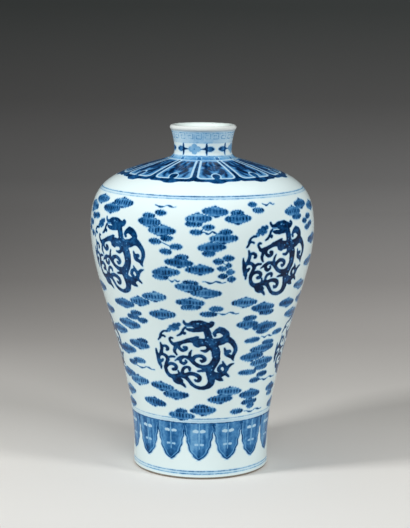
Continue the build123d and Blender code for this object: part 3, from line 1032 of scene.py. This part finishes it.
def relief(finish, height, strength, depth):
    """A fine unevenness, depth in millimetres."""
    inputs = {"Strength": strength, "Distance": depth * MM, "Height": height}
    return finish.node("ShaderNodeBump", inputs=inputs)


def put_on(finish, pieces):
    """Gives pieces this finish and no other."""
    for piece in pieces:
        piece.data.materials.clear()
        piece.data.materials.append(finish.material)

# %% Painted glaze
COBALT = [
    (0, colour(217, 233, 234)), (0.1, colour(194, 220, 231)), (0.2, colour(162, 198, 221)),
    (0.3, colour(118, 170, 207)), (0.45, colour(70, 130, 181)), (0.56, colour(40, 100, 153)),
    (0.68, colour(20, 78, 128)), (0.8, colour(6, 56, 102)), (0.9, colour(0, 40, 80)),
    (1, colour(0, 26, 58)),
]
LIP_WHITE = colour(214, 221, 219)
LIP_PALE_FROM = 0.3342
LIP_PALE_FULL = 0.3366
SOFT = 0.45
BLEED = 1.6

painted = Finish("painted_glaze_under_gloss")
wander = (grain(painted, 1.6) - 0.5) * 0.7 + (grain(painted, 4) - 0.5) * 0.8
broad = soft_step(painted, grain(painted, 9), 0.36, 0.64)
pooling = soft_step(painted, grain(painted, 3, 3), 0.34, 0.68)
speckle = grain(painted, 0.9, 3)
wash_edge, wash_blue = layer(painted, "wash")
ink_edge, ink_blue = layer(painted, "ink")
fade_edge, fade_blue = layer(painted, "fade")
wash_edge, ink_edge, fade_edge = wash_edge + wander, ink_edge + wander, fade_edge + wander * 0.6
wash = soft_step(painted, wash_edge, SOFT, -SOFT) * wash_blue
ink = soft_step(painted, ink_edge, SOFT, -SOFT) * ink_blue
fade = soft_step(painted, fade_edge, 0.5, -0.5)
wash_bled = soft_step(painted, wash_edge, BLEED, 0) * wash_blue * 0.16
ink_bled = soft_step(painted, ink_edge, BLEED, 0) * ink_blue * 0.17
washed = wash * (0.8 + broad * 0.14 + pooling * 0.16 + speckle * 0.1)
inked = ink * (0.66 + broad * 0.24 + pooling * 0.18 + speckle * 0.06)
blue = washed.or_more(inked).or_more(wash_bled + ink_bled)
blue = blue + fade * (fade_blue - blue)
lip = soft_step(painted, place_along(painted, "Z"), LIP_PALE_FROM, LIP_PALE_FULL)
tint = mixed(painted, lip, ramp(painted, blue, COBALT), LIP_WHITE)
gloss = 0.1 + grain(painted, 25) * 0.06
ripple = relief(painted, grain(painted, 5), strength=0.06, depth=0.2)
painted.feed(painted.shader, {"Base Color": tint, "Roughness": gloss, "Normal": ripple})
painted.feed(painted.shader, {"Specular IOR Level": 0.13})
put_on(painted, skins.values())
print("painted glaze on", len(skins), "skins, with", len(painted.tree.nodes), "nodes")

# %% [markdown]
# ## Places in the baked picture
# When the model leaves Blender, the painting is baked into one square picture for each skin. A long
# thin band would waste most of a square, so its outside is cut into strips that are stacked one above
# the other, and the clay side, which nobody sees, gets a sliver at the bottom.

# %% Strips for the bake
SLIVER = 0.04
STRIP_GAP = 0.006
MARGIN = 0.004
BACK_ROOM = 400


def strip_map(skin, low, high):
    """A map of the skin: its outside in stacked strips, about as tall in all as they are wide."""
    canvas = Canvas(skin)
    mesh = skin.data
    wide = tau * radius_at((low + high) / 2)
    strips = max(1, round((wide / (high - low)) ** 0.5))
    corners = np.empty(len(mesh.loops), np.int32)
    mesh.loops.foreach_get("vertex_index", corners)
    sides = np.array([face.loop_total for face in mesh.polygons])
    owner = np.repeat(np.arange(len(sides)), sides)
    on_top = np.abs(canvas.radius - radius_at(canvas.rise)) < SKIN / 8
    top_face = np.bincount(owner, on_top[corners]) == sides
    middle = np.array([face.center[:2] for face in mesh.polygons])
    way = np.degrees(np.arctan2(middle[:, 0], -middle[:, 1])) % 360
    strip = np.floor(way / 360 * strips)[owner]
    start = strip * 360 / strips
    along = ((canvas.turn[corners] - start + 90) % 360 - 90) * strips / 360
    up = np.clip((canvas.rise[corners] - low) / (high - low), 0, 1)
    step = (1 - SLIVER) / strips
    round_back = (canvas.turn[corners] - way[owner] + 180) % 360 - 180 + way[owner]
    u = MARGIN + (1 - 2 * MARGIN) * np.where(top_face[owner], along, round_back / BACK_ROOM)
    v = SLIVER + step * strip + STRIP_GAP / 2 + (step - STRIP_GAP) * up
    v = np.where(top_face[owner], v, MARGIN + (SLIVER - 2 * MARGIN) * up)
    return np.column_stack([u, v])


for name, (low, high, *_) in BANDS.items():
    made = skins[name].data.uv_layers.new(name="OFBake")
    made.data.foreach_set("uv", strip_map(skins[name], low, high).astype(np.float32).ravel())
print("strips mapped on", len(BANDS), "skins")

# %% [markdown]
# ## Glaze inside
# The inside is dipped in the same clear glaze and not painted. Its shape in the frame is right, so a
# copy of it is used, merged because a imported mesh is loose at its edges. The copy is cut in two at
# mid height, so that no piece is much bigger than the skins, and the cut rings are bridged to close
# them.

# %% Inner coat
CUT_HEIGHT = 0.17
COAT_MERGE = 0.002 * MM


def half_coat(name, keep_upper):
    """The inner coat above or below the cut, closed again where it was cut."""
    bpy.ops.object.select_all(action="DESELECT")
    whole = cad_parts["inner_glaze"]
    half = bpy.data.objects.new(name, whole.data.copy())
    bpy.context.scene.collection.objects.link(half)
    bpy.context.view_layer.objects.active = half
    half.select_set(True)
    bpy.ops.object.mode_set(mode="EDIT")
    bpy.ops.mesh.select_mode(type="EDGE")
    bpy.ops.mesh.select_all(action="SELECT")
    bpy.ops.mesh.remove_doubles(threshold=COAT_MERGE)
    bpy.ops.mesh.select_all(action="SELECT")
    cleared = {"clear_inner": keep_upper, "clear_outer": not keep_upper}
    bpy.ops.mesh.bisect(plane_co=(0, 0, CUT_HEIGHT), plane_no=(0, 0, 1), **cleared)
    bpy.ops.mesh.select_all(action="DESELECT")
    bpy.ops.mesh.select_non_manifold()
    bpy.ops.mesh.bridge_edge_loops()
    bpy.ops.object.mode_set(mode="OBJECT")
    bpy.ops.object.shade_smooth_by_angle(angle=CREASE)
    print(name, len(half.data.polygons), "faces")
    return half


inner_coats = [half_coat("inner_coat_low", False), half_coat("inner_coat_high", True)]

# %% Plain glaze
CLEAR_GLAZE = [(0, colour(214, 229, 226)), (1, colour(226, 238, 234))]

plain = Finish("plain_glaze_on_white")
clear = ramp(plain, grain(plain, 30, 3), CLEAR_GLAZE)
gloss = 0.12 + grain(plain, 20) * 0.08
ripple = relief(plain, grain(plain, 6), strength=0.08, depth=0.2)
plain.feed(plain.shader, {"Base Color": clear, "Roughness": gloss, "Normal": ripple})
put_on(plain, (*inner_coats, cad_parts["base_glaze"]))
print("plain glaze on the inside and under the base")

# %% [markdown]
# ## Bare clay and slip
# The foot stands on bare clay. Porcelain fires white, but where the glaze ends the iron in it burns
# to a thin warm brown line, which is how the foot ring shows under the white. The slip in the seams
# is the same clay, laid on wet.

# %% Fired clay
CLAY = [(0, colour(196, 188, 176)), (1, colour(216, 210, 200))]
BURNT = colour(92, 80, 62)
BURNT_ENDS = 0.0045
BURNT_FULL = 0.001
BURNT_SHARE = 0.8

clay = Finish("fired_clay")
height = place_along(clay, "Z") + (grain(clay, 8) - 0.5) * 0.002
burnt = soft_step(clay, height, BURNT_ENDS, BURNT_FULL) * BURNT_SHARE
warm = mixed(clay, burnt, ramp(clay, grain(clay, 2.5, 4), CLAY), BURNT)
rough = 0.72 + grain(clay, 3) * 0.15
tooth = relief(clay, grain(clay, 0.6, 3), strength=0.25, depth=0.2)
clay.feed(clay.shader, {"Base Color": warm, "Roughness": rough, "Normal": tooth})
put_on(clay, [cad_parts[name] for name in ("lower_body", "upper_body", "neck")])
print("fired clay on the three thrown sections")

# %% Slip
SLIP = [(0, colour(188, 178, 164)), (1, colour(208, 200, 188))]

slip = Finish("luting_slip")
laid = ramp(slip, grain(slip, 1.5, 4, (1, 1, 6)), SLIP)
rough = 0.8 + grain(slip, 2) * 0.1
lumps = relief(slip, grain(slip, 2, 3), strength=0.4, depth=0.3)
slip.feed(slip.shader, {"Base Color": laid, "Roughness": rough, "Normal": lumps})
put_on(slip, [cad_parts[name] for name in ("waist_lute", "neck_lute")])
print("slip in the two seams")

# %% [markdown]
# ## On the frame
# Every piece rides on the one body of the vase, and the coat of the frame that it stands for is hidden.

# %% Ride, and hide the coats that are replaced
for skin in skins.values():
    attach(skin, "root")
    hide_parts("outer_glaze")
for half in inner_coats:
    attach(half, "root")
    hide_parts("inner_glaze")
